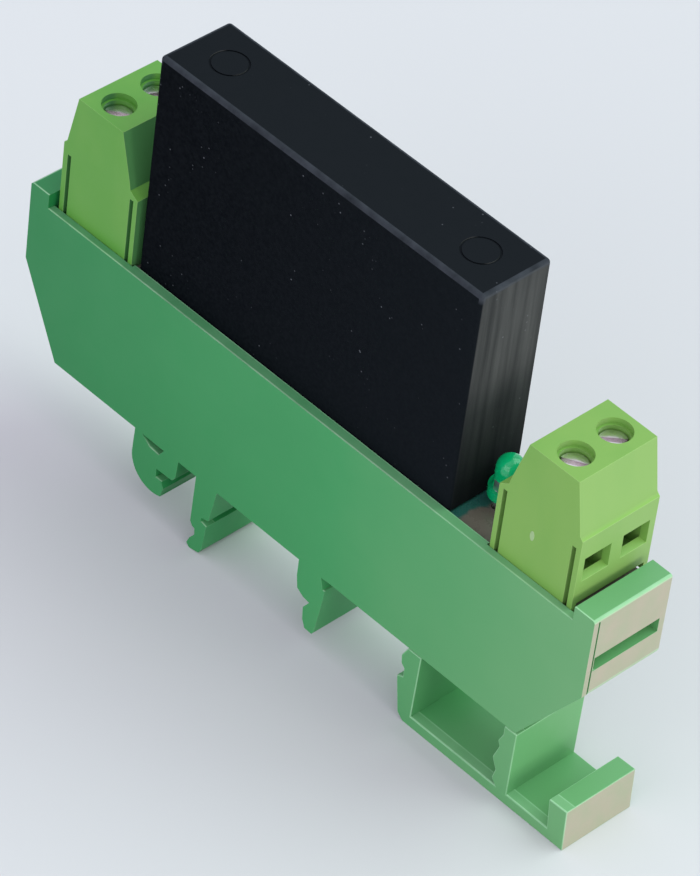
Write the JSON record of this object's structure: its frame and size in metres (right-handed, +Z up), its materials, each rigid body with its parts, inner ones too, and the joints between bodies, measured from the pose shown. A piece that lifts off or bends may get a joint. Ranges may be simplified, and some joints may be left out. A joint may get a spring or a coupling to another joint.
{
  "type": "rail-mounted interface relay",
  "caption": "Slim rail-mounted relay module: open tray with a sprung foot for 35 mm and 15 mm rails, encapsulated relay, status lamp and screw terminals at both ends.",
  "frame": {"origin": "centre of the bounding box, on the surface that the foot stands on", "axes": "+X along the module towards the input terminals, +Y across it from the closed side wall to the open side, +Z up away from the rail"},
  "size_m": [0.079, 0.011, 0.0538],
  "materials": {
    "tray_plastic": "fine moulded satin, dark green",
    "terminal_plastic": "smooth moulded, light green",
    "case_plastic": "spark-eroded texture, black",
    "potting_resin": "cast resin, black",
    "board_laminate": "glass laminate with solder mask",
    "solder": "bright tin solder",
    "ceramic": "white ceramic",
    "chip_plastic": "moulded component body",
    "coupler_plastic": "white moulded component body",
    "tinned_metal": "tin-plated",
    "screw_steel": "zinc-plated steel",
    "contact_metal": "tin-plated brass",
    "lamp_lens": "tinted translucent epoxy"
  },
  "bodies": {
    "tray": {"housing_base": "tray_plastic", "circuit_board": "board_laminate", "solder_joints": "solder", "relay_case": "case_plastic", "relay_potting": "potting_resin", "relay_substrate": "ceramic", "relay_transistor": "chip_plastic", "relay_optocoupler": "coupler_plastic", "relay_diode": "chip_plastic", "relay_resistors": "chip_plastic", "relay_pins": "tinned_metal", "led_lens": "lamp_lens", "led_leadframe": "tinned_metal", "led_resistor": "chip_plastic", "input_terminal_body": "terminal_plastic", "output_terminal_body": "terminal_plastic", "input_contact_bars": "contact_metal", "output_contact_bars": "contact_metal"},
    "latch": {"rail_latch": "tray_plastic"},
    "input_screw_near": {"input_screw_near": "screw_steel"},
    "input_cage_near": {"input_cage_near": "tinned_metal"},
    "input_screw_far": {"input_screw_far": "screw_steel"},
    "input_cage_far": {"input_cage_far": "tinned_metal"},
    "output_screw_near": {"output_screw_near": "screw_steel"},
    "output_cage_near": {"output_cage_near": "tinned_metal"},
    "output_screw_far": {"output_screw_far": "screw_steel"},
    "output_cage_far": {"output_cage_far": "tinned_metal"}
  },
  "joints": [
    {"name": "latch_slide", "type": "slide", "parent": "tray", "child": "latch", "axis": [1, 0, 0], "range_m": [0, 0.0015], "stiffness_N_per_m": 3000},
    {"name": "input_screw_near_turn", "type": "hinge", "parent": "tray", "child": "input_screw_near", "pos_m": [0.03033, -0.00209, 0.0402], "axis": [0, 0, -1], "range_deg": [0, 1602]},
    {"name": "input_cage_near_lift", "type": "slide", "parent": "tray", "child": "input_cage_near", "axis": [0, 0, 1], "range_m": [0, 0.002]},
    {"name": "input_screw_far_turn", "type": "hinge", "parent": "tray", "child": "input_screw_far", "pos_m": [0.03033, 0.00299, 0.0402], "axis": [0, 0, -1], "range_deg": [0, 1602]},
    {"name": "input_cage_far_lift", "type": "slide", "parent": "tray", "child": "input_cage_far", "axis": [0, 0, 1], "range_m": [0, 0.002]},
    {"name": "output_screw_near_turn", "type": "hinge", "parent": "tray", "child": "output_screw_near", "pos_m": [-0.03182, -0.00209, 0.0402], "axis": [0, 0, -1], "range_deg": [0, 1602]},
    {"name": "output_cage_near_lift", "type": "slide", "parent": "tray", "child": "output_cage_near", "axis": [0, 0, 1], "range_m": [0, 0.002]},
    {"name": "output_screw_far_turn", "type": "hinge", "parent": "tray", "child": "output_screw_far", "pos_m": [-0.03182, 0.00299, 0.0402], "axis": [0, 0, -1], "range_deg": [0, 1602]},
    {"name": "output_cage_far_lift", "type": "slide", "parent": "tray", "child": "output_cage_far", "axis": [0, 0, 1], "range_m": [0, 0.002]}
  ],
  "couplings": [
    {"joint": "input_screw_near_turn", "follows": "input_cage_near_lift", "rad_per_m": 13963},
    {"joint": "input_screw_far_turn", "follows": "input_cage_far_lift", "rad_per_m": 13963},
    {"joint": "output_screw_near_turn", "follows": "output_cage_near_lift", "rad_per_m": 13963},
    {"joint": "output_screw_far_turn", "follows": "output_cage_far_lift", "rad_per_m": 13963}
  ]
}
